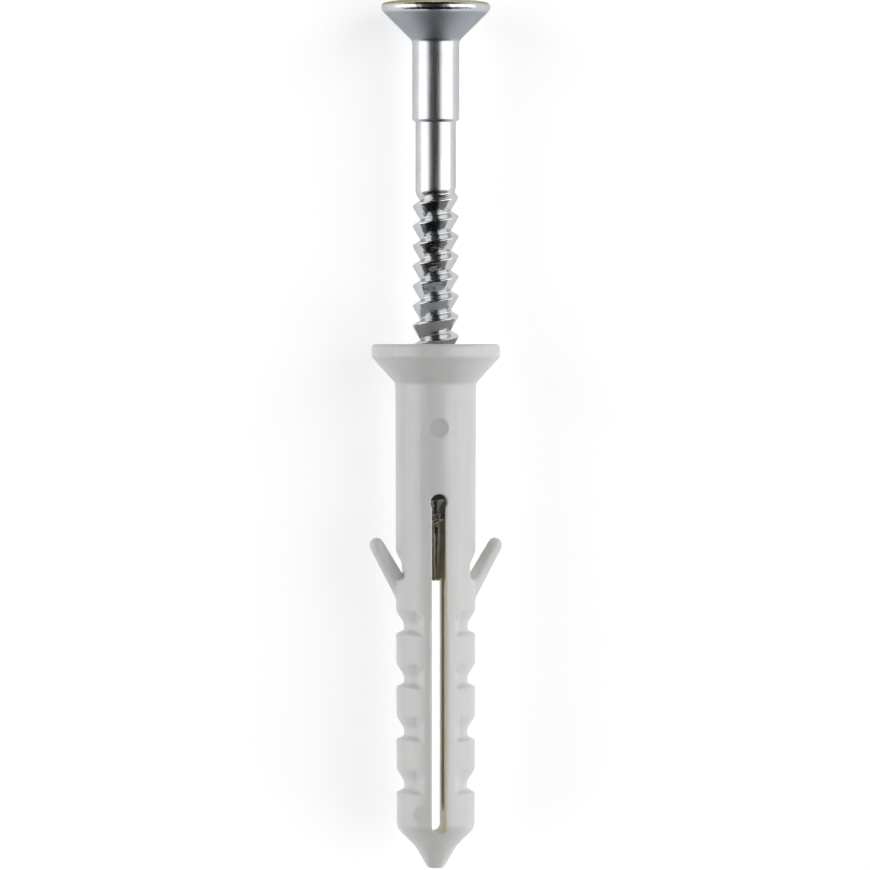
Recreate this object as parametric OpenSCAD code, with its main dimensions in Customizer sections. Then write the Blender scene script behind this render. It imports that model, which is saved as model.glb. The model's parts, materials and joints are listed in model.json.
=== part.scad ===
// Hammer fixing plug: a grey nylon expansion plug with a zinc-plated nail screw standing part-driven in it.
// Both pieces are drawn about one axis: Z runs up to the nail's head, the top of the collar is z = 0,
// the slot faces -Y and the wings spread along X. The finished fixing is then laid on its side along X,
// with the head towards -X and the slot uppermost.

/* [Nail] */
// Length of the nail, from the top of its dome to the end of its point
nail_l = 44.5; // [40:0.5:60]
// Depth of the point below the top of the collar, as the fixing is sold
preset_depth = 18.1; // [17.2:0.1:22]
// Diameter of the head
head_d = 8.35; // [7.6:0.05:8.8]
// Radius of the domed top of the head
dome_r = 20; // [12:1:40]
// Rounding of the edge of the head
head_edge_r = 0.4; // [0.2:0.05:0.5]
// Angle between opposite sides of the cone under the head
head_cone_angle = 90; // [80:1:100]
// Rounding where the cone runs into the shank
head_neck_r = 0.5; // [0.2:0.1:1]
// Diameter of the plain shank under the head
shank_d = 3.6; // [3.55:0.05:4]
// Length of the plain shank
shank_l = 5.9; // [3:0.1:9]
// Length of the taper from the shank to the neck
step_l = 0.4; // [0.2:0.1:1]
// Diameter of the neck above the thread
neck_d = 3.1; // [2.8:0.05:3.3]
// Length of the neck
neck_l = 4.75; // [3:0.25:8]
// Length of the smooth point below the thread
point_l = 3.3; // [2.5:0.1:4.5]
// Diameter of the point just before its rounded end
point_d = 1.4; // [1:0.1:1.8]

/* [Thread] */
// Diameter over the crests of the thread
thread_d = 3.55; // [3.3:0.05:3.7]
// Diameter at the root of the thread
root_d = 2.3; // [2.1:0.05:2.6]
// Pitch of the thread
pitch = 1.52; // [1.2:0.02:2]
// Length of the long flank that faces the point
flank_l = 1.07; // [0.6:0.01:1.1]
// Width of the crest
crest_w = 0.07; // [0.03:0.01:0.1]
// Length over which the thread fades into the neck
fade_l = 1.3; // [0.5:0.1:3]
// Angle round the nail at which the thread starts
thread_start = 207; // [0:1:359]

/* [Cross recess] */
// Width across the four wings of the recess
recess_d = 4.5; // [3.6:0.1:5]
// Thickness of one wing of the recess
recess_wing = 1.05; // [0.8:0.05:1.3]
// Diameter of the middle of the recess
recess_core_d = 2.4; // [2:0.1:2.8]
// Depth of the recess below the top of the dome
recess_depth = 2.3; // [1.6:0.1:2.6]

/* [Plug] */
// Length of the plug
plug_l = 40; // [38:0.5:60]
// Diameter of the plug just under its collar
plug_d = 6.2; // [5.9:0.05:6.8]
// Diameter of the plug at the end of its legs, smaller by the mould's draft
plug_end_d = 5.96; // [5.7:0.02:6.4]
// Diameter of the collar
collar_d = 9.8; // [9.6:0.1:12]
// Height of the collar's upright edge
collar_rim_h = 1; // [0.8:0.05:2]
// Height of the cone under the collar
collar_cone_l = 2; // [1.6:0.1:3]
// Rounding of the collar's edges
collar_edge_r = 0.28; // [0.1:0.02:0.35]
// Rounding where the collar's cone runs into the sleeve
collar_neck_r = 0.4; // [0.1:0.1:1]

/* [Plug point] */
// Length of the point, from the end of the legs
tip_l = 3.1; // [2.6:0.1:4]
// Rounding of the shoulder at the end of the legs
tip_shoulder_r = 1; // [0.3:0.1:1.1]
// Length of the nose, the narrower end of the point
nose_l = 1.7; // [1.2:0.1:2.2]
// Diameter at the top of the nose
nose_d = 3.16; // [2.6:0.02:3.6]
// Rounding where the shoulder runs into the nose
nose_neck_r = 0.5; // [0.1:0.1:1]
// Diameter at the end of the nose before it is rounded
nose_end_d = 1.18; // [0.9:0.02:1.6]
// Rounding of the end of the nose
nose_end_r = 0.35; // [0.1:0.05:0.4]

/* [Bore] */
// Gap all round between the nail's shank and the bore
bore_gap = 0.05; // [0.03:0.01:0.15]
// Gap left between the head's cone and its seat when the nail is home
seat_gap = 0.08; // [0.03:0.01:0.2]
// Diameter of the narrow bore between the legs, which the thread bites into
grip_bore_d = 2.4; // [2.2:0.05:2.8]
// Length over which the bore narrows
bore_taper_l = 2.3; // [1:0.1:4]
// Solid length at the plug's closed end
closed_l = 3.8; // [3.5:0.1:6]

/* [Slot] */
// Width of the slot
slot_w = 1.05; // [0.8:0.05:1.3]
// Diameter of the keyhole at the top of the slot
keyhole_d = 1.3; // [1.1:0.05:1.8]
// Depth of the keyhole's centre below the top of the collar
keyhole_depth = 12.05; // [10:0.05:13]
// Distance from the end of the slot to the end of the plug
slot_end_l = 2.8; // [2.6:0.1:4]

/* [Wings] */
// Depth of the middle of a wing's root below the top of the collar
wing_root_depth = 19.7; // [19.2:0.1:20]
// Distance of the middle of that root from the axis
wing_root_x = 2.1; // [2:0.05:2.3]
// Length of a wing, from the middle of its root to the middle of its round end
wing_l = 5; // [4:0.1:5.6]
// Angle between a wing and the axis
wing_angle = 29; // [22:1:34]
// Diameter of a wing at its root
wing_root_d = 1.45; // [1.3:0.05:1.5]
// Diameter of a wing at its round end
wing_end_d = 1.13; // [0.8:0.01:1.3]
// Depth of the pocket that a wing folds into
pocket_depth = 0.58; // [0.4:0.02:0.8]
// Height of the pocket's foot above the middle of the wing's root
pocket_foot_h = 1.9; // [1.7:0.05:2.1]
// Length of the pocket's floor
pocket_floor_l = 1.05; // [0.8:0.05:1.6]
// Length of the slope at the top of the pocket
pocket_slope_l = 1; // [0.6:0.05:1.4]
// Length that the foot of the pocket leans over
pocket_lean_l = 0.3; // [0.1:0.02:0.4]

/* [Grip notches] */
// Number of notches down each leg
notch_n = 4; // [1:1:4]
// Distance from one notch to the next
notch_pitch = 4.03; // [3:0.01:4.2]
// Depth of the first notch's shoulder below the top of the collar
notch_first = 21.95; // [21.8:0.05:22.4]
// Depth of a notch
notch_depth = 0.58; // [0.3:0.02:0.8]
// Length of the slope that runs into a notch
notch_slope_l = 0.98; // [0.6:0.02:1.2]
// Length of the floor of a notch
notch_floor_l = 0.38; // [0.2:0.02:0.6]
// Length that the shoulder of a notch leans over
notch_lean_l = 0.2; // [0.1:0.02:0.4]
// Angle by which the shoulders fall away to the front and back, so that the mould opens
notch_draft = 7; // [0:1:10]
// Width of the plain rail left on each side of the slot
rail_w = 0.64; // [0.4:0.02:1]
// Angle of the rail's sides
rail_draft = 25; // [0:1:30]

/* [Ejector marks] */
// Diameter of the ejector mark on the sleeve
sleeve_mark_d = 1.5; // [1:0.1:2]
// Depth of that mark's centre below the top of the collar
sleeve_mark_depth = 6.4; // [5:0.1:9]
// Diameter of the ejector mark on the last land
leg_mark_d = 1.25; // [0.8:0.05:1.4]
// Height of that mark's centre above the end of the plug
leg_mark_height = 4.25; // [4.1:0.05:4.6]
// Distance of that mark from the middle of the slot
leg_mark_x = 1.7; // [1.4:0.05:1.9]
// Depth of both marks where they are deepest
mark_depth = 0.11; // [0.06:0.01:0.15]

/* [Rest] */
// Angle by which the fixing has rolled about its own axis where it lies
lay_turn = 5; // [0:0.5:20]

/* [Hidden] */
$fn = 64;

// How many straight steps stand for a small rounding, a notch's slope and one turn of the thread
ARC_STEPS = 6;
SLOPE_STEPS = 8;
THREAD_SIDES = 36;
// How far a cut runs past the surface that it opens
OVER = 1;
// How far a solid reaches into the one that it grows from, and stays inside its skin
ROOTED = 1;
INSET = 0.02;
// Share of its width that the recess keeps at its floor
RECESS_FLOOR = 0.45;

// Places along the nail
nail_top = nail_l - preset_depth;
head_rim_z = nail_top - dome_r + sqrt(pow(dome_r - head_edge_r, 2) - pow(head_d / 2 - head_edge_r, 2));
cone_half = head_cone_angle / 2;
cone_edge = [head_d / 2 - head_edge_r, head_rim_z] + head_edge_r * [cos(cone_half), -sin(cone_half)];
head_base_z = cone_edge[1] - (cone_edge[0] - shank_d / 2) / tan(cone_half);
shank_end_z = head_base_z - shank_l;
neck_top_z = shank_end_z - step_l;
thread_top_z = neck_top_z - neck_l;
point_end_z = -preset_depth;
thread_end_z = point_end_z + point_l;

// Places along the plug
collar_base_z = -collar_rim_h - collar_cone_l;
legs_end_z = tip_l - plug_l;
nose_z = nose_l - plug_l;
bore_d = max(shank_d, thread_d) + 2 * bore_gap;
bore_end_z = thread_end_z - bore_gap;
grip_bore_z = bore_end_z - bore_taper_l;
pocket_foot_z = pocket_foot_h - wing_root_depth;
pocket_x = body_r(pocket_foot_z) - pocket_depth;

// The fixing lies on the edge of its head and the upper edge of its collar
head_contact = [head_rim_z, head_d / 2 - head_edge_r];
collar_contact = [-collar_edge_r, collar_d / 2 - collar_edge_r];
contact_run = head_contact - collar_contact;
lay_tilt = asin((collar_edge_r - head_edge_r) / norm(contact_run)) - atan2(contact_run[1], contact_run[0]);
lay_height = sin(lay_tilt) * collar_contact[0] + cos(lay_tilt) * collar_contact[1] + collar_edge_r;
// The middle of its length, seen from above, is the origin
lay_shift = cos(lay_tilt) * (plug_l - nail_top) / 2;

// Radius of the drafted sleeve at a height z
function body_r(z) =
    plug_d / 2 + (plug_end_d - plug_d) / 2 * (z - collar_base_z) / (legs_end_z - collar_base_z);

// Points on an arc about a centre, between two angles
function arc(centre, r, from, to, steps = ARC_STEPS) =
    [for (i = [0:steps])
        let (angle = from + (to - from) * i / steps)
        centre + r * [cos(angle), sin(angle)]];

// Points that round the corner b of the outline a, b, c
function rounded(a, b, c, r) =
    let (
        u = (a - b) / norm(a - b),
        v = (c - b) / norm(c - b),
        half = acos(u * v) / 2,
        middle = b + (u + v) / norm(u + v) * r / sin(half),
        from = atan2((b + u * r / tan(half) - middle)[1], (b + u * r / tan(half) - middle)[0]),
        to = atan2((b + v * r / tan(half) - middle)[1], (b + v * r / tan(half) - middle)[0]),
        turn = (to - from > 180) ? to - from - 360 : (to - from < -180) ? to - from + 360 : to - from
    )
    arc(middle, r, from, from + turn);

// Lay an upright piece on its side, with the slot uppermost
module laid() {
    translate([-lay_shift, 0, lay_height])
        rotate([0, -90 - lay_tilt, 0])
            rotate(90 + lay_turn)
                children();
}

// Outline of the plug before it is cut, from the axis at the top of the collar to the axis at its point
function plug_outline() =
    let (
        r_collar = collar_d / 2,
        top = [r_collar, 0],
        under = [r_collar, -collar_rim_h],
        neck = [body_r(collar_base_z), collar_base_z],
        legs_end = [plug_end_d / 2, legs_end_z],
        nose = [nose_d / 2, nose_z],
        end = [nose_end_d / 2, -plug_l]
    )
    concat(
        [[0, 0]],
        rounded([0, 0], top, under, collar_edge_r),
        rounded(top, under, neck, collar_edge_r),
        rounded(under, neck, legs_end, collar_neck_r),
        rounded(neck, legs_end, nose, tip_shoulder_r),
        rounded(legs_end, nose, end, nose_neck_r),
        rounded(nose, end, [0, -plug_l], nose_end_r),
        [[0, -plug_l]]
    );

// Two spring wings that lean out of the legs, round in section and at their ends
module wings() {
    for (side = [0, 1])
        mirror([side, 0, 0])
            translate([wing_root_x, 0, -wing_root_depth])
                rotate([0, wing_angle, 0]) {
                    cylinder(d1 = wing_root_d, d2 = wing_end_d, h = wing_l);
                    translate([0, 0, wing_l])
                        sphere(d = wing_end_d);
                }
}

// Flat pockets that the wings fold into, each with a slope at its top and a leaning foot
module pockets() {
    floor_top = pocket_foot_z + pocket_floor_l;
    rise = pocket_slope_l / pocket_depth;
    fall = pocket_lean_l / pocket_depth;
    reach = pocket_depth + OVER;
    for (side = [0, 1])
        mirror([side, 0, 0])
            rotate([90, 0, 0])
                linear_extrude(plug_d, center = true)
                    polygon([
                        [pocket_x, pocket_foot_z],
                        [pocket_x, floor_top],
                        [pocket_x + reach, floor_top + rise * reach],
                        [pocket_x + reach, pocket_foot_z - fall * reach]
                    ]);
}

// Ring that cuts one grip notch: a slope in the shape of an S, a short floor and a leaning shoulder
module notch_ring(floor_r, floor_z) {
    skin = floor_r + notch_depth;
    slope_z = floor_z + notch_floor_l;
    rotate_extrude()
        polygon(concat(
            [[skin + OVER, floor_z - notch_lean_l], [skin, floor_z - notch_lean_l], [floor_r, floor_z]],
            [for (i = [0:SLOPE_STEPS])
                let (share = i / SLOPE_STEPS)
                [floor_r + notch_depth * (1 - cos(180 * share)) / 2, slope_z + notch_slope_l * share]],
            [[skin + OVER, slope_z + notch_slope_l]]
        ));
}

// Wedges under a notch's floor that let its shoulder fall away to the front and back
module notch_wedges(floor_r, floor_z) {
    reach = floor_r + notch_depth + OVER;
    fall = reach * tan(notch_draft);
    difference() {
        for (side = [0, 1])
            mirror([0, side, 0])
                rotate([90, 0, 90])
                    linear_extrude(2 * reach, center = true)
                        polygon([[0, floor_z], [reach, floor_z - fall], [reach, floor_z]]);
        translate([0, 0, floor_z - fall - OVER])
            cylinder(r = floor_r, h = fall + 2 * OVER);
    }
}

// All the notches, kept off the rails beside the slot
module notches() {
    rail_edge = slot_w / 2 + rail_w;
    rail_front = sqrt(pow(plug_d / 2, 2) - pow(rail_edge, 2));
    side_l = 2 * notch_depth;
    foot = [rail_edge + side_l * sin(rail_draft), rail_front - side_l * cos(rail_draft)];
    difference() {
        for (i = [0:notch_n - 1]) {
            floor_z = notch_lean_l / 2 - notch_first - i * notch_pitch;
            floor_r = body_r(floor_z) - notch_depth;
            notch_ring(floor_r, floor_z);
            if (notch_draft > 0)
                notch_wedges(floor_r, floor_z);
        }
        translate([0, 0, -plug_l])
            linear_extrude(plug_l)
                for (flip_x = [0, 1], flip_y = [0, 1])
                    mirror([flip_x, 0])
                        mirror([0, flip_y])
                            polygon([
                                [0, 0],
                                [foot[0], 0],
                                foot,
                                [rail_edge, rail_front],
                                [rail_edge, plug_d],
                                [0, plug_d]
                            ]);
    }
}

// Slot from front to back, with its keyhole and round end
module slot() {
    slot_end_z = slot_end_l - plug_l + slot_w / 2;
    rotate([90, 0, 0])
        linear_extrude(plug_d + 2 * OVER, center = true) {
            translate([0, -keyhole_depth])
                circle(d = keyhole_d);
            translate([-slot_w / 2, slot_end_z])
                square([slot_w, -keyhole_depth - slot_end_z]);
            translate([0, slot_end_z])
                circle(d = slot_w);
        }
}

// Seat for the nail's head, bore for its shank and narrow bore between the legs
module bore() {
    seat_run = tan(cone_half);
    seat_r = cone_edge[0] + (head_rim_z - cone_edge[1]) * seat_run + seat_gap;
    closed_z = closed_l - plug_l;
    drill_z = closed_z + grip_bore_d / 2;
    rotate_extrude()
        polygon([
            [0, OVER],
            [seat_r + OVER * seat_run, OVER],
            [bore_d / 2, (bore_d / 2 - seat_r) / seat_run],
            [bore_d / 2, bore_end_z],
            [grip_bore_d / 2, grip_bore_z],
            [grip_bore_d / 2, drill_z],
            [0, closed_z]
        ]);
}

// Flat round spot left by an ejector pin on the front of the plug
module ejector_mark(x, z, d) {
    floor_y = sqrt(pow(body_r(z), 2) - x * x) - mark_depth;
    translate([x, -floor_y, z])
        rotate([90, 0, 0])
            cylinder(d = d, h = OVER);
}

module expansion_plug() {
    color("silver")
        laid()
            difference() {
                union() {
                    difference() {
                        rotate_extrude()
                            polygon(plug_outline());
                        pockets();
                        notches();
                    }
                    wings();
                }
                bore();
                slot();
                ejector_mark(0, -sleeve_mark_depth, sleeve_mark_d);
                ejector_mark(-leg_mark_x, leg_mark_height - plug_l, leg_mark_d);
            }
}

// Outline of the head, shank and neck, from the top of the dome down to the thread
function nail_outline() =
    let (
        rim = [head_d / 2 - head_edge_r, head_rim_z],
        dome_middle = [0, nail_top - dome_r],
        dome_lean = atan2(rim[0], rim[1] - dome_middle[1]),
        base = [shank_d / 2, head_base_z],
        shank_end = [shank_d / 2, shank_end_z]
    )
    concat(
        [for (i = [0:ARC_STEPS - 1]) arc(dome_middle, dome_r, 90, 90 - dome_lean)[i]],
        arc(rim, head_edge_r, 90 - dome_lean, -cone_half, 2 * ARC_STEPS),
        rounded(cone_edge, base, shank_end, head_neck_r),
        [shank_end, [neck_d / 2, neck_top_z], [neck_d / 2, thread_top_z], [0, thread_top_z]]
    );

// Cone as deep as the recess, of a given diameter level with the top of the dome
module recess_cone(d) {
    taper = (1 - RECESS_FLOOR) * d / recess_depth;
    translate([0, 0, nail_top - recess_depth])
        cylinder(d1 = d * RECESS_FLOOR, d2 = d + taper * OVER, h = recess_depth + OVER);
}

// Cross recess: four tapered wings about a tapered middle
module cross_recess() {
    for (turn = [0, 90])
        rotate(turn)
            intersection() {
                translate([-recess_d, -recess_wing / 2, nail_top - recess_depth])
                    cube([2 * recess_d, recess_wing, recess_depth + OVER]);
                recess_cone(recess_d);
            }
    recess_cone(recess_core_d);
}

// The thread is one skin wound up the nail in columns. Each turn crosses the profile's points from one root
// to the next: a long flank that faces the point, a narrow crest and a short shoulder that faces the head.
profile = [[0, 0], [flank_l / pitch, 1], [(flank_l + crest_w) / pitch, 1]];
PROFILE_N = len(profile);
thread_turns = ceil((thread_top_z - thread_end_z) / pitch) + 2;
column_n = thread_turns * PROFILE_N + 1;

// Height above the thread's lower end, in turns: the first turn grows from nothing
function thread_height(side, row) =
    let (turn = floor(row / PROFILE_N), rise = profile[row % PROFILE_N][0])
    turn == 0 ? rise * side / THREAD_SIDES : turn - 1 + side / THREAD_SIDES + rise;

// Share of the full height of the thread at a point
function thread_share(side, row) =
    profile[row % PROFILE_N][1] * (row < PROFILE_N ? side / THREAD_SIDES : 1);

// A point of the skin: near the neck the thread fades into a plain round
function thread_point(side, row) =
    let (
        z = thread_end_z + pitch * thread_height(side, row),
        full = root_d / 2 + (thread_d - root_d) / 2 * thread_share(side, row),
        plain = neck_d / 2 - INSET,
        fade = min(1, max(0, (thread_top_z - z) / fade_l)),
        r = plain + (full - plain) * fade,
        angle = 360 * side / THREAD_SIDES
    )
    [r * cos(angle), r * sin(angle), z];

// Place of a point in the list: the start of the first column is a single point, and one past the last
// column is the first column again, a turn higher
function thread_index(side, row) =
    side == THREAD_SIDES ? thread_index(0, row + PROFILE_N)
    : side == 0 ? max(0, row - PROFILE_N)
    : column_n * side + row - PROFILE_N;

module thread() {
    top_row = column_n - 1;
    points = concat(
        [for (row = [PROFILE_N:top_row]) thread_point(0, row)],
        [for (side = [1:THREAD_SIDES - 1]) for (row = [0:top_row]) thread_point(side, row)],
        [[0, 0, thread_end_z + pitch * (thread_turns - 1)]]
    );
    top_middle = len(points) - 1;
    skin = [
        for (side = [0:THREAD_SIDES - 1])
            for (row = [0:top_row - 1 - (side == THREAD_SIDES - 1 ? PROFILE_N : 0)])
                let (
                    a = thread_index(side, row),
                    b = thread_index(side, row + 1),
                    c = thread_index(side + 1, row + 1),
                    d = thread_index(side + 1, row)
                )
                each [if (a != b) [a, b, c], if (c != d) [a, c, d]]
    ];
    rim = concat(
        [for (side = [0:THREAD_SIDES - 1]) thread_index(side, top_row)],
        [for (row = [top_row - 1:-1:top_row - PROFILE_N]) thread_index(THREAD_SIDES - 1, row)]
    );
    top = [for (i = [0:len(rim) - 1]) [top_middle, rim[(i + 1) % len(rim)], rim[i]]];
    bottom = [[for (side = [0:THREAD_SIDES - 1]) thread_index(side, 0)]];
    polyhedron(points, concat(skin, top, bottom));
}

// Smooth tapered point with a round end, rooted in the core of the thread
module point() {
    root_r = root_d / 2 * cos(180 / THREAD_SIDES) - INSET;
    end_r = point_d / 2;
    lean = atan2(root_r - end_r, point_l - end_r);
    end_middle = [0, point_end_z + end_r];
    rotate_extrude()
        polygon(concat(
            [[0, thread_end_z + ROOTED], [root_r, thread_end_z + ROOTED], [root_r, thread_end_z]],
            arc(end_middle, end_r, -lean, -90)
        ));
}

module nail_screw() {
    color("gainsboro")
        laid()
            difference() {
                union() {
                    rotate_extrude()
                        polygon(nail_outline());
                    rotate(thread_start)
                        thread();
                    point();
                }
                cross_recess();
            }
}

expansion_plug();
nail_screw();
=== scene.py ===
# %% [markdown]
# # A hammer fixing plug
# The object is a wall fixing in two pieces: a grey nylon plug, and a zinc-plated nail screw that stands
# part-driven in it, which is how the pair is sold. The CAD model already holds the true sizes, so Blender adds
# what CAD leaves out: moulded edges, a finely wound thread and two finishes. The first cell loads the CAD model.

# %% Load the CAD model
import json
import math

import bmesh
import bpy
import numpy as np
from mathutils import Matrix, Vector


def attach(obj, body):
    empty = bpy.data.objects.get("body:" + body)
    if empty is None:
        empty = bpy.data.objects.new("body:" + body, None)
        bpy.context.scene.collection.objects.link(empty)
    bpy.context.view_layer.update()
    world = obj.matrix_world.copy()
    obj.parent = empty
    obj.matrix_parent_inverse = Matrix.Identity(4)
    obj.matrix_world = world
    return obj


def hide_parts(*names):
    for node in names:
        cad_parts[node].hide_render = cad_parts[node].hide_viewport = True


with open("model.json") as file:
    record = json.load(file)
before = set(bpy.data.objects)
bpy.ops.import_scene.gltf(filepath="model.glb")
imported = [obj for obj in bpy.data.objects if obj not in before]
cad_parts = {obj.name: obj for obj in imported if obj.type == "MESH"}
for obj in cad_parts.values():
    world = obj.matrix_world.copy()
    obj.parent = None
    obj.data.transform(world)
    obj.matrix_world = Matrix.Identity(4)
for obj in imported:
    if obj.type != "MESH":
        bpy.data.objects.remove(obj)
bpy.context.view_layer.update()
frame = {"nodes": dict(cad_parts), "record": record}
print("CAD nodes:", sorted(frame["nodes"]))

# %% [markdown]
# ## The line that everything turns about
# Both pieces are round about one line, from the nail's dome to the plug's point. The fixing lies on the edge of
# its collar and the edge of its head, so that line leans a little and the slot has rolled a few degrees to one
# side. Modelling in that leaning frame would be tiresome. It is easier to model upright, with Z along the line
# and the top of the collar at zero, and to lay each finished mesh down with one matrix. The mount in the middle
# of the driver recess stands on the line and points along it, so the matrix can be read from there.

# %% Find the matrix that lays an upright piece down
MM = 0.001
DOME_TOP_Z = 26.4  # mm from the top of the collar to the top of the nail's dome
ROLL = math.radians(5)  # how far the slot has rolled from straight up

recess_mount = next(m for m in frame["record"]["mounts"] if m["name"] == "driver_recess")
axis = Vector(recess_mount["axis"]).normalized()
collar_top = Vector(recess_mount["pos_m"]) - axis * DOME_TOP_Z * MM
skyward = (Vector((0, 0, 1)) - axis * axis.z).normalized()
rightward = axis.cross(skyward)

slot_faces = skyward * math.cos(ROLL) + rightward * math.sin(ROLL)
wings_along = axis.cross(slot_faces)
lay_down = Matrix((wings_along, -slot_faces, axis)).transposed().to_4x4()
lay_down.translation = collar_top
print("the line leans", round(math.degrees(math.asin(-axis.z)), 2), "degrees down to the head")

# %% [markdown]
# ## The plug
# The plug is one nylon moulding: a collar, a sleeve, two springy legs with notches, two wings and a blunt point.
# A mould can't fill a knife edge, so every edge of the real plug is slightly round, and those edges catch the
# light. The CAD solid has the right form with sharp edges. Bevelling it edge by edge fails where many cuts meet,
# so the next cells copy the solid and cover it with an even skin of small squares (a voxel remesh), relax that
# skin until the edges are soft, and thin it where it is flat. The work is done in millimetres, because the
# remesh takes no step finer than a ten-thousandth of a unit.

# %% Stand a copy of the solid upright, in millimetres
plug = bpy.data.objects.new("moulded_plug", frame["nodes"]["expansion_plug"].data.copy())
bpy.context.scene.collection.objects.link(plug)
plug.data.transform(Matrix.Scale(1 / MM, 4) @ lay_down.inverted())
print("the solid has", len(plug.data.polygons), "faces")

# %% [markdown]
# Two small things are fuller on the moulding than in the solid. The pin that pushed the warm plug out of its mould
# left a flat disc, a little proud of one leg. And the ledge at the foot of each notch leans towards the head all
# the way round, where the solid's ledge is almost square to the line beside the slot. Booleans could add both.
# But the remesh joins any closed bodies that overlap, so it is enough to lay a short pin and some thin wedges
# into the same mesh.

# %% Lay in the ejector pin
PIN_R = 0.64
PIN_L = 0.8
PIN_TURN = math.radians(-18)  # the pin comes in from the front and a little from the left
PIN_MIDDLE = (-1.326, -2.285, -35.75)

pin_place = Matrix.Translation(PIN_MIDDLE)
pin_place @= Matrix.Rotation(PIN_TURN, 4, "Z") @ Matrix.Rotation(math.pi / 2, 4, "X")
fuller = bmesh.new()
fuller.from_mesh(plug.data)
bmesh.ops.create_cone(
    fuller, cap_ends=True, segments=48, radius1=PIN_R, radius2=PIN_R, depth=PIN_L, matrix=pin_place
)
print("the pin leaves a disc of", 2 * PIN_R, "mm")

# %% Where the notches are
SLEEVE_R, COLLAR_BASE_Z = 3.1, -3.0
LEGS_END_R, LEGS_END_Z = 2.98, -36.9
NOTCHES = 4
FIRST_NOTCH_Z = -21.85  # the foot of the first notch's ledge
NOTCH_PITCH = 4.03
NOTCH_DEPTH = 0.58


def body_r(z):
    """Radius of the tapered body at a height."""
    return SLEEVE_R + (LEGS_END_R - SLEEVE_R) * (z - COLLAR_BASE_Z) / (LEGS_END_Z - COLLAR_BASE_Z)


notch_heights = [FIRST_NOTCH_Z - notch * NOTCH_PITCH for notch in range(NOTCHES)]
print("the notches' feet are at", [round(z, 2) for z in notch_heights], "mm")

# %% Lay a wedge on the ledge of each notch
LEDGE_LEAN = 0.2  # mm that the ledge falls from its foot to its edge, at the side of the plug
LEDGE_DRAFT = math.radians(7)  # its edge falls away to the front and the back, so that the mould could open
LEDGE_RISE = 0.04
WEDGE_SUNK = 0.15  # how deep the wedge's back lies in the solid
WEDGE_CLEAR = 0.02  # how far its edge stays inside the body
WEDGE_WAYS = np.radians(np.linspace(22, 158, 69))  # from the rail in front to the rail behind


def wedge_section(notch_z, way):
    """Corners (r, z) of the wedge on a ledge, in a direction that is measured from the front."""
    edge_r = body_r(notch_z)
    foot_r = edge_r - NOTCH_DEPTH
    fall = max(LEDGE_LEAN, edge_r * abs(math.cos(way)) * math.tan(LEDGE_DRAFT))
    edge_z = notch_z - fall - WEDGE_CLEAR
    top_z = notch_z + LEDGE_RISE
    back_r = foot_r - WEDGE_SUNK
    return [(edge_r - WEDGE_CLEAR, edge_z), (back_r, edge_z), (back_r, top_z), (foot_r + WEDGE_CLEAR / 2, top_z)]


for notch_z in notch_heights:
    for side in (-1, 1):
        loops = []
        for way in WEDGE_WAYS:
            across, forward = side * math.sin(way), -math.cos(way)
            section = wedge_section(notch_z, way)
            loops.append([fuller.verts.new((r * across, r * forward, z)) for r, z in section])
        fuller.faces.new(loops[0])
        fuller.faces.new(loops[-1][::-1])
        for loop, after in zip(loops, loops[1:]):
            for here in range(len(loop)):
                there = (here + 1) % len(loop)
                fuller.faces.new((loop[there], loop[here], after[here], after[there]))
fuller.to_mesh(plug.data)
fuller.free()
print("with the pin and the wedges it has", len(plug.data.polygons), "faces")

# %% Cover the plug with an even skin
SKIN_STEP = 0.085  # mm between the corners of the skin
RELAX_STEPS = 8

skin = plug.modifiers.new("even skin", "REMESH")
skin.mode = "VOXEL"
skin.voxel_size = SKIN_STEP
relax = plug.modifiers.new("soft edges", "SMOOTH")
relax.factor = 0.5
relax.iterations = RELAX_STEPS


def bake_modifiers(piece):
    """Replace a piece's mesh by what its modifiers make of it."""
    evaluated = piece.evaluated_get(bpy.context.evaluated_depsgraph_get())
    baked = bpy.data.meshes.new_from_object(evaluated)
    piece.modifiers.clear()
    piece.data = baked


def triangle_count(piece):
    return sum(len(face.vertices) - 2 for face in piece.data.polygons)


bake_modifiers(plug)
skin_triangles = triangle_count(plug)
print("the plug's skin has", skin_triangles, "triangles")

# %% [markdown]
# The slope above each notch runs out longer and softer on the moulding than in the solid. That has to be cut away
# instead of filled. On a skin as fine as this one it needs no boolean: every corner that stands proud of the
# wanted slope is moved in towards the line. The rails beside the slot keep their shape.

# %% Plane the slopes of the notches
NOTCH_FLOOR_L = 0.38
NOTCH_SLOPE_L = 1.36
RAIL_FOOT_X = 1.45  # mm from the middle to the foot of the wall that ends a notch
RAIL_FADE = 0.3

skin_corners = np.empty(3 * len(plug.data.vertices))
plug.data.vertices.foreach_get("co", skin_corners)
skin_corners = skin_corners.reshape(-1, 3)
moved = 0
for notch_z in notch_heights:
    out = np.hypot(skin_corners[:, 0], skin_corners[:, 1])
    up_slope = (skin_corners[:, 2] - notch_z - NOTCH_FLOOR_L) / NOTCH_SLOPE_L
    planed = body_r(notch_z) - NOTCH_DEPTH * (1 + np.cos(np.pi * np.clip(up_slope, 0, 1))) / 2
    off_rail = np.clip((np.abs(skin_corners[:, 0]) - RAIL_FOOT_X) / RAIL_FADE, 0, 1)
    proud = (up_slope > 0) & (up_slope < 1) & (out > planed)
    skin_corners[:, :2] *= np.where(proud, 1 + (planed / out - 1) * off_rail, 1)[:, None]
    moved += int(np.sum(proud & (off_rail > 0)))
plug.data.vertices.foreach_set("co", skin_corners.ravel())
print("corners planed:", moved)

# %% Thin the skin and put the plug in its place
MOST_TRIANGLES = 185_000

thin = plug.modifiers.new("thin out", "DECIMATE")
thin.ratio = min(1.0, MOST_TRIANGLES / skin_triangles)
bake_modifiers(plug)
plug.data.transform(lay_down @ Matrix.Scale(MM, 4))
plug.data.shade_smooth()

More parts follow.
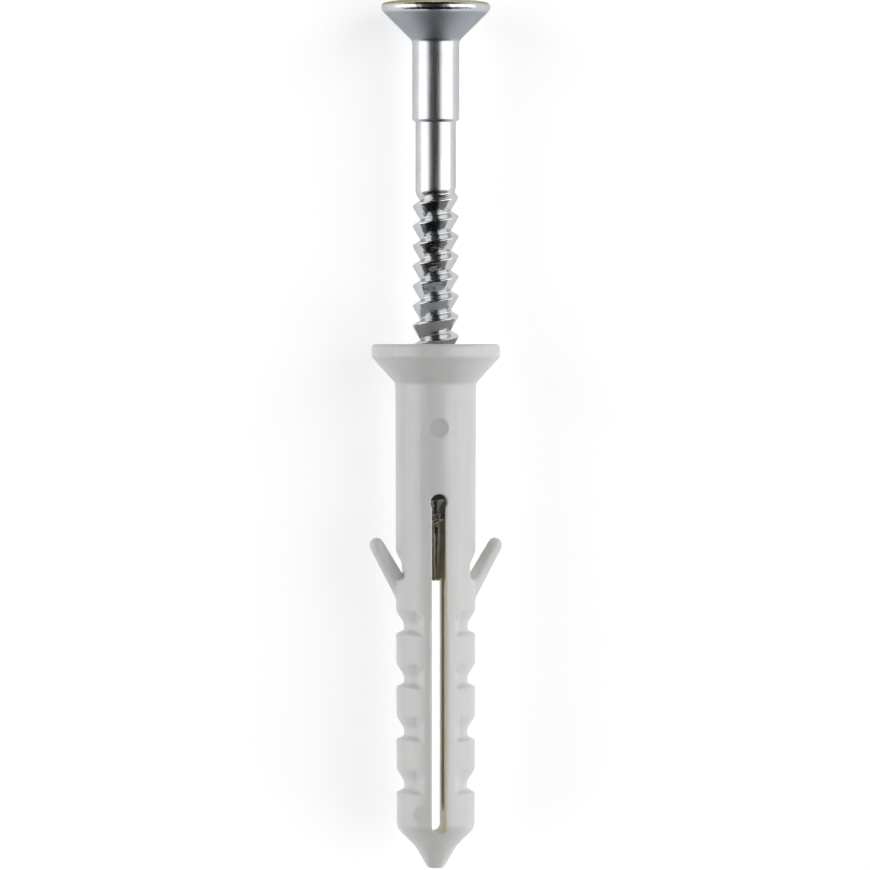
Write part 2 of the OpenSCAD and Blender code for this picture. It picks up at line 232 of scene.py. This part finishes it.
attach(plug, "plug")
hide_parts("expansion_plug")
print("thinned to", triangle_count(plug), "triangles")

# %% [markdown]
# ## The nail's head, shank and neck
# The nail is cold-formed from wire. The head is struck in a die, with a low dome, a cone under it and a cross
# recess for a driver. Everything but the recess is turned about the line, so a lathe (the Screw modifier) would
# do for most of it. A lathe can't make the cross, though, and cutting it with a boolean leaves ragged edges on
# the dome. So the skin is built from columns instead. Each column runs from the middle of the recess out over
# the dome and down to the thread, and the only thing that differs from one column to the next is how far the
# recess reaches in that direction.

# %% Sizes of the nail, in millimetres
HEAD_R = 4.175
RIM_R = 0.4
DOME_R = 20.0
SHANK_R = 1.8
SHANK_L = 5.9
STEP_L = 0.4
NECK_R = 1.55
NECK_L = 4.75
FILLET_R = 0.5

dome_middle_z = DOME_TOP_Z - DOME_R
rim_r = HEAD_R - RIM_R
rim_z = dome_middle_z + math.sqrt((DOME_R - RIM_R) ** 2 - rim_r**2)
rim_lean = math.atan2(rim_r, rim_z - dome_middle_z)
cone_r = rim_r + RIM_R * math.sqrt(0.5)
cone_z = rim_z - RIM_R * math.sqrt(0.5)
cone_foot_z = cone_z - (cone_r - SHANK_R)
shank_end_z = cone_foot_z - SHANK_L
neck_top_z = shank_end_z - STEP_L
thread_top_z = neck_top_z - NECK_L
print("the cone ends at", round(cone_foot_z, 2), "mm and the thread begins at", round(thread_top_z, 2), "mm")

# %% Outline from the rim of the head down to the thread


def arc(middle, radius, start, end, steps):
    """Points (r, z) on an arc about a middle, between two angles."""
    turn = np.linspace(start, end, steps)
    return np.column_stack([middle[0] + radius * np.cos(turn), middle[1] + radius * np.sin(turn)])


def straight(start, end, steps):
    """Points (r, z) on a straight line, without its first point."""
    share = np.linspace(0, 1, steps + 1)[1:, None]
    return np.array(start) * (1 - share) + np.array(end) * share


STEP_EDGE = 0.08  # mm at each end of the step that is rounded away

fillet_middle = (SHANK_R + FILLET_R, cone_foot_z - FILLET_R * math.tan(math.pi / 8))
rim = arc((rim_r, rim_z), RIM_R, math.pi / 2 - rim_lean, -math.pi / 4, 15)
fillet = arc(fillet_middle, FILLET_R, 3 * math.pi / 4, math.pi, 9)
step_share = np.linspace(0, 1, 13)
step = np.column_stack([
    NECK_R + (SHANK_R - NECK_R) * (1 + np.cos(math.pi * step_share)) / 2,
    shank_end_z - STEP_EDGE - (STEP_L - 2 * STEP_EDGE) * step_share,
])
side_outline = np.vstack([
    rim,
    straight(rim[-1], fillet[0], 14),
    fillet[1:],
    straight(fillet[-1], step[0], 12),
    step[1:],
    straight(step[-1], (NECK_R, thread_top_z), 14),
])
print("points down the side of one column:", len(side_outline))

# %% [markdown]
# The cross recess has four tapered wings about a tapered middle. Seen from above, its edge is the furthest of
# three shapes: the round middle, and two bars at right angles with round ends. That is one short formula in the
# direction of the column. The same formula, at a smaller size, gives the edge of the recess's floor. The first
# column stands where the thread starts, which makes the thread easy to wind later.

# %% Edge of the recess in the direction of each column
COLUMNS = 128
THREAD_START = math.radians(207)
RECESS_REACH = 2.25
RECESS_CORE_R = 1.2
RECESS_HALF_WING = 0.525
RECESS_DEPTH = 2.3
RECESS_FLOOR_SHARE = 0.45

angles = THREAD_START + np.linspace(0, 2 * np.pi, COLUMNS, endpoint=False)


def recess_edge(share):
    """How far the recess reaches in the direction of each column, at a share of its size."""
    reach = RECESS_REACH * share
    bar_x = np.minimum(reach, RECESS_HALF_WING / np.maximum(np.abs(np.sin(angles)), 1e-6))
    bar_y = np.minimum(reach, RECESS_HALF_WING / np.maximum(np.abs(np.cos(angles)), 1e-6))
    return np.maximum(RECESS_CORE_R * share, np.maximum(bar_x, bar_y))


recess_top = recess_edge(1.0)
recess_floor = recess_edge(RECESS_FLOOR_SHARE)
print("the recess reaches from", round(recess_top.min(), 2), "to", round(recess_top.max(), 2), "mm")

# %% Rings over the recess, the dome and the side
RECESS_EDGE = 0.08  # width of the rounded edge that the punch leaves


def dome_z(r):
    return dome_middle_z + np.sqrt(DOME_R**2 - r**2)


floor_z = np.full(COLUMNS, DOME_TOP_Z - RECESS_DEPTH)
wall_top_z = dome_z(recess_top) - RECESS_EDGE
rings = [(0.5 * recess_floor, floor_z), (0.94 * recess_floor, floor_z)]
for rise in np.linspace(0.03, 0.97, 10):
    rings.append((recess_floor + (recess_top - recess_floor) * rise, floor_z + (wall_top_z - floor_z) * rise))
for turn in np.linspace(0, math.pi / 2, 5):
    r = recess_top + RECESS_EDGE * (1 - math.cos(turn))
    rings.append((r, dome_z(r) - RECESS_EDGE * (1 - math.sin(turn))))
for share in np.linspace(0, 1, 10)[1:-1]:
    r = recess_top + RECESS_EDGE + (rim[0][0] - recess_top - RECESS_EDGE) * share
    rings.append((r, dome_z(r)))
rings += [(np.full(COLUMNS, r), np.full(COLUMNS, z)) for r, z in side_outline]
print("rings from the recess to the thread:", len(rings))

# %% [markdown]
# ## The thread
# The thread is rolled into the wire. It works as a barb: a long flank faces the point, so that a hammer drives
# it in, and a short shoulder faces the head, so that it can't be pulled out again. A spiral made with the Screw
# modifier has one profile all the way, and this thread grows out of the point and fades into the neck. So the
# columns go on downwards, and each column's rows are lifted by its share of one turn. The rows then follow the
# crests exactly, and a crest stays a clean edge however few rows there are.

# %% Shape of one turn of the thread
PITCH = 1.52
CREST_R = 1.775
ROOT_R = 1.15
FLANK_L = 1.07
CREST_W = 0.07
ROUNDING = 0.04  # share of a turn over which crest and root are rounded


def barb(place):
    """Height of the thread, from 0 at its root to 1 at its crest, at a place from 0 to 1 up one turn."""
    corners = [0, FLANK_L / PITCH, (FLANK_L + CREST_W) / PITCH, 1]
    spread = np.linspace(-ROUNDING, ROUNDING, 9)
    return np.mean([np.interp((place + s) % 1, corners, [0, 1, 1, 0]) for s in spread], axis=0)


crest_place = (FLANK_L + CREST_W / 2) / PITCH
near_crest = crest_place + np.linspace(-0.09, 0.09, 9)
near_root = [0.0, 0.025, 0.06, 0.86, 0.91, 0.95, 0.978]
along_flank = np.linspace(0.14, 0.57, 5)
row_places = np.sort(np.concatenate([near_crest, near_root, along_flank]))
print("rows in one turn:", len(row_places), "tallest:", round(float(barb(row_places).max()), 2))

# %% Wind the thread
THREAD_END_Z = -14.8
GROW_L = 1.5
FADE_L = 1.3


def ease(share):
    """A smooth start and a smooth stop between 0 and 1."""
    share = np.clip(share, 0, 1)
    return share * share * (3 - 2 * share)


lift = np.arange(COLUMNS) / COLUMNS
turns = math.ceil((thread_top_z - THREAD_END_Z) / PITCH) + 1
thread_first = len(rings)
for turn in range(turns, -3, -1):
    for place in row_places[::-1]:
        z = THREAD_END_Z + PITCH * (turn + place + lift - 1)
        grown = barb(place) * ease((z - THREAD_END_Z) / GROW_L)
        full = ROOT_R + (CREST_R - ROOT_R) * grown
        r = NECK_R + (full - NECK_R) * ease((thread_top_z - z) / FADE_L)
        rings.append((r, np.clip(z, THREAD_END_Z, thread_top_z)))
thread_last = len(rings)
print("rings of the thread:", thread_last - thread_first)

# %% Round off the point
POINT_R = 0.55  # a little rounder than the solid's, as a rolled point is
POINT_END_Z = -18.1

point_lean = math.atan2(ROOT_R - POINT_R, THREAD_END_Z - POINT_END_Z - POINT_R)
point_end = arc((0, POINT_END_Z + POINT_R), POINT_R, -point_lean, -math.pi / 2, 12)
point_outline = np.vstack([straight((ROOT_R, THREAD_END_Z), point_end[0], 10), point_end[1:-1]])
rings += [(np.full(COLUMNS, r), np.full(COLUMNS, z)) for r, z in point_outline]
print("the point ends at", POINT_END_Z, "mm")

# %% [markdown]
# The rings become one mesh. Two neighbouring columns are joined by a row of four-sided faces. The thread needs
# one exception: the last column has climbed almost a whole turn, so it meets the first column one turn higher.
# Where the thread ends, its rows were squeezed onto one height, and merging points that lie together removes
# the faces that this left without any area.

# %% Join the rings into the nail's skin
radii = np.array([r for r, z in rings])
heights = np.array([z for r, z in rings])
corners = np.stack([radii * np.cos(angles), radii * np.sin(angles), heights], axis=-1).reshape(-1, 3)
recess_middle = len(corners)
point_tip = recess_middle + 1
corners = np.vstack([corners, [[0, 0, DOME_TOP_Z - RECESS_DEPTH], [0, 0, POINT_END_Z]]]) * MM

turn_rows = len(row_places)
faces = []
for ring in range(len(rings) - 1):
    in_thread = thread_first <= ring < thread_last - 1
    for column in range(COLUMNS):
        beside = (column + 1) % COLUMNS
        up = turn_rows if in_thread and beside == 0 else 0
        if ring - up >= (thread_first if up else 0):
            faces.append((
                ring * COLUMNS + column,
                (ring + 1) * COLUMNS + column,
                (ring + 1 - up) * COLUMNS + beside,
                (ring - up) * COLUMNS + beside,
            ))
last_ring = (len(rings) - 1) * COLUMNS
for column in range(COLUMNS):
    beside = (column + 1) % COLUMNS
    faces.append((recess_middle, column, beside))
    faces.append((last_ring + column, point_tip, last_ring + beside))
print("faces before merging:", len(faces))

# %% Make the nail and put it in its place
nail_mesh = bpy.data.meshes.new("nail_skin")
nail_mesh.from_pydata(corners.tolist(), [], faces)
merging = bmesh.new()
merging.from_mesh(nail_mesh)
bmesh.ops.remove_doubles(merging, verts=merging.verts, dist=1e-7)
bmesh.ops.dissolve_degenerate(merging, edges=merging.edges, dist=1e-8)
open_edges = sum(1 for edge in merging.edges if not edge.is_manifold)
merging.to_mesh(nail_mesh)
merging.free()
nail_mesh.transform(lay_down)
nail_mesh.shade_smooth()

nail = bpy.data.objects.new("rolled_nail", nail_mesh)
bpy.context.scene.collection.objects.link(nail)
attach(nail, "nail")
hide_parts("nail_screw")
print("the nail has", triangle_count(nail), "triangles and", open_edges, "open edges")

# %% [markdown]
# ## A helper for finishes
# Both finishes are made of nodes. Building a node tree in code repeats three steps: make a node, set its
# properties, and give each input a number or a link. One helper does all three. A Mapping node stands the
# coordinates upright again, so that a texture can follow the line, and their unit is the metre, so a texture's
# scale is about the number of its ripples in one metre.

# %% Make nodes with less typing


def add_node(tree, kind, inputs=None, **properties):
    """Add a node, set its properties, and set or link each named input."""
    made = tree.nodes.new(kind)
    for name, value in properties.items():
        setattr(made, name, value)
    for name, value in (inputs or {}).items():
        if isinstance(value, bpy.types.NodeSocket):
            tree.links.new(value, made.inputs[name])
        else:
            made.inputs[name].default_value = value
    return made


def stretched(tree, coordinates, scale):
    """The same coordinates with their own scale along X, Y and Z."""
    return add_node(tree, "ShaderNodeVectorMath", {0: coordinates, 1: scale}, operation="MULTIPLY").outputs[0]


def remap(tree, value, low, high, to_low, to_high):
    """A value moved smoothly from one range to another."""
    inputs = {"Value": value, "From Min": low, "From Max": high, "To Min": to_low, "To Max": to_high}
    return add_node(tree, "ShaderNodeMapRange", inputs, interpolation_type="SMOOTHSTEP").outputs[0]


def calc(tree, operation, *values):
    """One step of arithmetic on sockets and numbers."""
    return add_node(tree, "ShaderNodeMath", dict(enumerate(values)), operation=operation).outputs[0]


def mixed_in(tree, where, under, over, blend_type="MIX"):
    """One colour over another, by how strong the place is."""
    mix = add_node(tree, "ShaderNodeMix", {"Factor": where}, data_type="RGBA", blend_type=blend_type)
    for socket, colour in ((mix.inputs["A"], under), (mix.inputs["B"], over)):
        if isinstance(colour, bpy.types.NodeSocket):
            tree.links.new(colour, socket)
        else:
            socket.default_value = colour
    return mix.outputs["Result"]


def new_finish(name):
    """A material with its node tree, its main shader and coordinates that stand upright."""
    finish = bpy.data.materials.new(name)
    finish.use_nodes = True
    tree = finish.node_tree
    shader = tree.nodes["Principled BSDF"]
    laid = add_node(tree, "ShaderNodeTexCoord").outputs["Object"]
    lie = {"Vector": laid, "Location": lay_down.translation, "Rotation": lay_down.to_euler()}
    place = add_node(tree, "ShaderNodeMapping", lie, vector_type="TEXTURE").outputs[0]
    return finish, tree, shader, place


print("node helpers ready")

# %% [markdown]
# ## Grey nylon
# Moulded nylon is pale, waxy and translucent: light goes in a millimetre or two, so notches look soft and the
# walls of the slot glow a little instead of being black. Its tone is not quite even. The melt leaves faint clouds,
# and faint streaks along the way it ran in from the point. Inside the slot the light is handed from wall to wall,
# and each pass through nylon takes more of the blue; that warm shade is painted into the colour of the slot's
# walls.
# The mark that the upper ejector pin left is burnished, and the dark reflection it shows is painted into its
# colour as a darker shade. The mould's fine grain breaks up the gloss, and where the two halves of the mould met,
# a thin line runs down both sides. A flat grey would look like paint, so each of these gets its own texture or
# place.

# %% Tone of the nylon
nylon, tree, shader, place = new_finish("grey_nylon_moulded")
clouds = add_node(tree, "ShaderNodeTexNoise", {"Vector": place, "Scale": 260.0, "Detail": 3.0})
run_in = add_node(tree, "ShaderNodeTexNoise", {"Vector": stretched(tree, place, (1800, 1800, 120)), "Scale": 1.0})
mixed = calc(tree, "ADD", clouds.outputs["Fac"], run_in.outputs["Fac"])
tone = add_node(tree, "ShaderNodeValToRGB", {"Fac": remap(tree, mixed, 0.7, 1.3, 0.0, 1.0)})
tone.color_ramp.elements[0].color = (0.785, 0.781, 0.770, 1)
tone.color_ramp.elements[1].color = (0.830, 0.826, 0.816, 1)
print("nylon tones:", [round(e.color[0], 2) for e in tone.color_ramp.elements])

# %% Painted warm shade on the walls of the slot, and painted shade on the pin's mark on the sleeve
SLOT_WALL_X = 0.525
SLOT_SHADE_FROM_Z = -14.0  # beside the nail, where less light comes through the slot, the warmth fades out
SLOT_SHADE_FULL_Z = -18.0
SLOT_END_Z = -37.2
# painted shade: this warm, darker colour on the slot's walls stands in for the light handed between them
SLOT_PAINTED_SHADE = (0.96, 0.87, 0.58, 1)
MARK_Z = -6.4
MARK_R = 0.75
# painted shade: the pin's mark is darkened to stand in for the dark reflection of its burnished flat
MARK_PAINTED_SHADE = (0.82, 0.82, 0.83, 1)

upright = add_node(tree, "ShaderNodeSeparateXYZ", {"Vector": place})
off_middle = calc(tree, "ABSOLUTE", upright.outputs["X"])
on_wall = remap(tree, off_middle, (SLOT_WALL_X + 0.025) * MM, (SLOT_WALL_X + 0.095) * MM, 1.0, 0.0)
below_nail = remap(tree, upright.outputs["Z"], SLOT_SHADE_FULL_Z * MM, SLOT_SHADE_FROM_Z * MM, 1.0, 0.0)
above_end = remap(tree, upright.outputs["Z"], (SLOT_END_Z - 0.1) * MM, (SLOT_END_Z + 0.1) * MM, 0.0, 1.0)
# where the walls of the slot get their painted warm shade
slot_painted_shade_place = calc(tree, "MULTIPLY", on_wall, calc(tree, "MULTIPLY", below_nail, above_end))
with_slot_painted_shade = mixed_in(tree, slot_painted_shade_place, tone.outputs["Color"], SLOT_PAINTED_SHADE, "MULTIPLY")

flattened = stretched(tree, place, (1, 0, 1))
from_mark = add_node(tree, "ShaderNodeVectorMath", {0: flattened, 1: (0, 0, MARK_Z * MM)}, operation="DISTANCE")
near_mark = remap(tree, from_mark.outputs["Value"], (MARK_R - 0.09) * MM, (MARK_R + 0.01) * MM, 1.0, 0.0)
in_front = remap(tree, upright.outputs["Y"], -1.0 * MM, 0.0, 1.0, 0.0)
# where the pin's mark gets its painted shade
mark_painted_shade_place = calc(tree, "MULTIPLY", near_mark, in_front)
tree.links.new(mixed_in(tree, mark_painted_shade_place, with_slot_painted_shade, MARK_PAINTED_SHADE, "MULTIPLY"), shader.inputs["Base Color"])
print("the slot is warm from", SLOT_SHADE_FULL_Z, "to", SLOT_END_Z, "mm")

# %% Gloss, grain and mould line of the nylon
MOULD_LINE = 0.00006  # half the width of the line where the mould closes, in metres

gloss = add_node(tree, "ShaderNodeTexNoise", {"Vector": place, "Scale": 900.0, "Detail": 4.0})
tree.links.new(remap(tree, gloss.outputs["Fac"], 0.3, 0.7, 0.3, 0.38), shader.inputs["Roughness"])
off_line = calc(tree, "ABSOLUTE", upright.outputs["Y"])
line = remap(tree, off_line, 0.0, MOULD_LINE, 1.0, 0.0)
grain = add_node(tree, "ShaderNodeTexNoise", {"Vector": place, "Scale": 7000.0, "Detail": 3.0})
line_bump = add_node(tree, "ShaderNodeBump", {"Height": line, "Strength": 0.5, "Distance": 0.00003})
grain_bump = add_node(
    tree,
    "ShaderNodeBump",
    {"Height": grain.outputs["Fac"], "Strength": 0.25, "Distance": 0.00001, "Normal": line_bump.outputs["Normal"]},
)
tree.links.new(grain_bump.outputs["Normal"], shader.inputs["Normal"])
shader.inputs["IOR"].default_value = 1.53
shader.inputs["Specular IOR Level"].default_value = 0.8
shader.inputs["Subsurface Weight"].default_value = 0.3
shader.inputs["Subsurface Radius"].default_value = (1.0, 0.88, 0.6)
shader.inputs["Subsurface Scale"].default_value = 0.004
plug.data.materials.clear()
plug.data.materials.append(nylon)
print("nylon nodes:", len(tree.nodes))

# %% [markdown]
# ## Zinc plate
# The nail is steel with a thin bright coat of zinc. It mirrors the room, so most of its look comes from what is
# round it. The coat itself is never even: its colour changes in clouds, the drawn wire leaves fine lines along
# the shank, and the parts that were struck or rolled are shinier but slightly dented. The cone under the head was
# pressed against a die and is duller, and its colour is darkened as a painted shade for the dim reflection that
# it shows. The crown, which is the dome with its recess, is coloured a darker olive in clouds. Heights along the
# nail, and distances from its line, tell these places apart, so the finish needs no painting by hand.

# %% Where the nail was drawn, struck and rolled
zinc, tree, shader, place = new_finish("zinc_plate_bright")
height = add_node(tree, "ShaderNodeSeparateXYZ", {"Vector": place}).outputs["Z"]
struck = remap(tree, height, (cone_z - 0.2) * MM, (cone_z + 0.02) * MM, 0.0, 1.0)
above_shank = remap(tree, height, (cone_foot_z - 0.1) * MM, (cone_foot_z + 0.15) * MM, 0.0, 1.0)
# the pressed cone is rougher, and the same place gets a painted shade in its colour
pressed_and_painted_shade = calc(tree, "SUBTRACT", above_shank, struck)
rolled = remap(tree, height, (thread_top_z - 0.9) * MM, (thread_top_z + 0.1) * MM, 1.0, 0.0)
worked = calc(tree, "MAXIMUM", struck, rolled)

dome = remap(tree, height, (rim_z + 0.1) * MM, (rim_z + 0.3) * MM, 0.0, 1.0)
flattened = stretched(tree, place, (1, 1, 0))
from_line = add_node(tree, "ShaderNodeVectorMath", {0: flattened}, operation="LENGTH").outputs["Value"]
inward = remap(tree, from_line, RECESS_REACH * MM, (RECESS_REACH + 0.3) * MM, 1.0, 0.0)
above_floor = remap(tree, height, (floor_z[0] - 0.15) * MM, (floor_z[0] - 0.05) * MM, 0.0, 1.0)
crown = calc(tree, "MAXIMUM", dome, calc(tree, "MULTIPLY", inward, above_floor))
print("the cone runs from", round(cone_foot_z, 2), "to", round(cone_z, 2), "mm")

# %% Colour and shine of the zinc
# painted shade: the cone's colour is darkened to stand in for the dim reflection it shows
CONE_PAINTED_SHADE = (0.7, 0.73, 0.77, 1)
COAT_EDGE = (0.78, 0.79, 0.8, 1)  # the tint of a mirror image that is seen at a low angle
# the crown's darker olive colour, and the tint of its mirror image at a low angle
CROWN_OLIVE = (0.36, 0.34, 0.2, 1)
CROWN_OLIVE_EDGE = (0.45, 0.43, 0.3, 1)

clouds = add_node(tree, "ShaderNodeTexNoise", {"Vector": place, "Scale": 520.0, "Detail": 5.0})
coat = add_node(tree, "ShaderNodeValToRGB", {"Fac": remap(tree, clouds.outputs["Fac"], 0.3, 0.7, 0.0, 1.0)})
coat.color_ramp.elements[0].color = (0.545, 0.56, 0.58, 1)
coat.color_ramp.elements[1].color = (0.61, 0.615, 0.62, 1)
# the cone's painted shade, over the zinc's own colour
coat_with_painted_cone_shade = mixed_in(tree, pressed_and_painted_shade, coat.outputs["Color"], CONE_PAINTED_SHADE, "MULTIPLY")
# the crown's olive, in clouds
crown_olive = calc(tree, "MULTIPLY", crown, remap(tree, clouds.outputs["Fac"], 0.35, 0.65, 0.6, 1.0))
tree.links.new(mixed_in(tree, crown_olive, coat_with_painted_cone_shade, CROWN_OLIVE), shader.inputs["Base Color"])
tree.links.new(mixed_in(tree, crown_olive, COAT_EDGE, CROWN_OLIVE_EDGE), shader.inputs["Specular Tint"])

drawn = add_node(tree, "ShaderNodeTexNoise", {"Vector": stretched(tree, place, (9000, 9000, 350)), "Scale": 1.0})
shine = remap(tree, drawn.outputs["Fac"], 0.3, 0.7, 0.24, 0.32)
dulled = calc(tree, "MULTIPLY_ADD", pressed_and_painted_shade, 0.15, shine)
tree.links.new(calc(tree, "MULTIPLY_ADD", worked, -0.12, dulled), shader.inputs["Roughness"])
shader.inputs["Metallic"].default_value = 1.0
print("zinc colours:", [round(e.color[0], 2) for e in coat.color_ramp.elements])

# %% Lines and dents of the zinc
dents = add_node(tree, "ShaderNodeTexNoise", {"Vector": place, "Scale": 1500.0, "Detail": 3.0})
dent_depth = calc(tree, "MULTIPLY", dents.outputs["Fac"], worked)
dent_bump = add_node(tree, "ShaderNodeBump", {"Height": dent_depth, "Strength": 0.6, "Distance": 0.00009})
line_bump = add_node(
    tree,
    "ShaderNodeBump",
    {"Height": drawn.outputs["Fac"], "Strength": 0.12, "Distance": 0.00001, "Normal": dent_bump.outputs["Normal"]},
)
tree.links.new(line_bump.outputs["Normal"], shader.inputs["Normal"])
nail.data.materials.append(zinc)
print("zinc nodes:", len(tree.nodes))

# %% [markdown]
# ## Floor
# The picture has a plain white ground. A floor that is only lit can't be quite white unless the lamps are too
# strong for the nylon, so the floor also glows a little, but only for rays that come from the camera or from a
# mirror-like surface. It gives no extra light to the object, and it still shows the soft shadow that the fixing
# lies in.

# %% Make the floor
FLOOR_GLOW = 0.55
FLOOR_HALF = 3.0

floor_mesh = bpy.data.meshes.new("floor")
floor_corners = [(FLOOR_HALF * x, FLOOR_HALF * y, 0) for x, y in [(-1, -1), (1, -1), (1, 1), (-1, 1)]]
floor_mesh.from_pydata(floor_corners, [], [(0, 1, 2, 3)])
floor = bpy.data.objects.new("floor", floor_mesh)
bpy.context.scene.collection.objects.link(floor)

ground = bpy.data.materials.new("white_ground")
ground.use_nodes = True
tree = ground.node_tree
tree.nodes.remove(tree.nodes["Principled BSDF"])
ray = add_node(tree, "ShaderNodeLightPath")
seen = calc(tree, "MAXIMUM", ray.outputs["Is Camera Ray"], ray.outputs["Is Glossy Ray"])
seen = calc(tree, "MAXIMUM", seen, ray.outputs["Is Transmission Ray"])
glow = calc(tree, "MULTIPLY", seen, FLOOR_GLOW)
lit = add_node(tree, "ShaderNodeBsdfDiffuse", {"Color": (0.88, 0.88, 0.88, 1)})
shining = add_node(tree, "ShaderNodeEmission", {"Color": (1, 1, 1, 1), "Strength": glow})
both = add_node(tree, "ShaderNodeAddShader")
tree.links.new(lit.outputs[0], both.inputs[0])
tree.links.new(shining.outputs[0], both.inputs[1])
tree.links.new(both.outputs[0], tree.nodes["Material Output"].inputs["Surface"])
floor_mesh.materials.append(ground)
print("floor of", 2 * FLOOR_HALF, "m with a glow of", FLOOR_GLOW)

# %% [markdown]
# ## Two white walls
# Bright metal is photographed between two white walls of light, with a dark gap between them where the camera
# stands. The walls give the broad white bands on both sides of the shank, and the gap gives the dark band between
# them. A few lamps would leave hard spots on the nail instead, so the world itself gets the walls: its colour
# depends on how far a direction points to the left or to the right. The right wall comes nearer to the camera
# than the left one, and its light falls off more sharply. The walls also end a little way beyond the fixing's two
# ends, and a little sooner past the point. That is why the collar's cone, the flanks of the thread and the ledges
# of the notches are darker.

# %% Colour the world as two walls
# how far to the right a direction points, and how bright the world is there
WALLS = [(-1.0, 2.1), (-0.8, 2.04), (-0.46, 0.105), (0.0, 0.035), (0.27, 0.105), (0.56, 2.0), (1.0, 2.05)]
PAST_THE_WALLS = 0.12  # share of that brightness where the walls have ended
HEAD_END = (0.35, 0.6)  # how far towards the head a direction points where the walls begin and finish to end
POINT_END = (-0.55, -0.3)

world = bpy.data.worlds.new("white_walls")
bpy.context.scene.world = world
world.use_nodes = True
tree = world.node_tree
direction = add_node(tree, "ShaderNodeTexCoord").outputs["Generated"]
to_right = add_node(tree, "ShaderNodeVectorMath", {0: direction, 1: tuple(rightward)}, operation="DOT_PRODUCT")
along_ramp = add_node(tree, "ShaderNodeMapRange", {"Value": to_right.outputs["Value"], "From Min": -1.0})
walls = add_node(tree, "ShaderNodeValToRGB", {"Fac": along_ramp.outputs[0]})
walls.color_ramp.interpolation = "EASE"
stops = walls.color_ramp.elements
while len(stops) < len(WALLS):
    stops.new(0.5)
for stop, (right, bright) in zip(stops, WALLS):
    stop.position = (right + 1) / 2
    stop.color = (bright, bright, bright, 1)
tree.links.new(walls.outputs["Color"], tree.nodes["Background"].inputs["Color"])
print("the gap between the walls is dark from", WALLS[2][0], "to", WALLS[4][0])

# %% End the walls beyond the head and the point
to_head = add_node(tree, "ShaderNodeVectorMath", {0: direction, 1: tuple(axis)}, operation="DOT_PRODUCT")
head_end = remap(tree, to_head.outputs["Value"], *HEAD_END, 1.0, PAST_THE_WALLS)
point_end = remap(tree, to_head.outputs["Value"], *POINT_END, PAST_THE_WALLS, 1.0)
tree.links.new(calc(tree, "MULTIPLY", head_end, point_end), tree.nodes["Background"].inputs["Strength"])
print("past the ends the world keeps", PAST_THE_WALLS, "of its light")

# %% [markdown]
# ## Camera
# The photograph looks straight at the fixing with its head at the top, from far away: the collar shows no top
# face and the cone no shift. So the camera hangs high above the lying fixing with a long lens, and its upward
# direction follows the line to the head. It is aimed at the middle of the picture, a little below the collar.

# %% Hang the camera
CAMERA_DISTANCE = 0.645
CENTRE_BELOW_COLLAR = 6.95  # mm
CENTRE_LEFT_OF_LINE = 0.06  # mm

above_line = collar_top - rightward * CENTRE_LEFT_OF_LINE * MM
aim = above_line - axis * CENTRE_BELOW_COLLAR * MM
stand = above_line + skyward * CAMERA_DISTANCE
back = (stand - aim).normalized()
picture_up = (axis - back * axis.dot(back)).normalized()
turned = Matrix((picture_up.cross(back), picture_up, back)).transposed().to_4x4()
turned.translation = stand

lens = bpy.data.cameras.new("camera")
lens.lens = 350
lens.sensor_width = 36
camera = bpy.data.objects.new("camera", lens)
camera.matrix_world = turned
bpy.context.scene.collection.objects.link(camera)
bpy.context.scene.camera = camera
bpy.context.scene.view_settings.view_transform = "Standard"
print("the picture is", round(36 / 350 * CAMERA_DISTANCE / MM, 1), "mm across at the fixing")
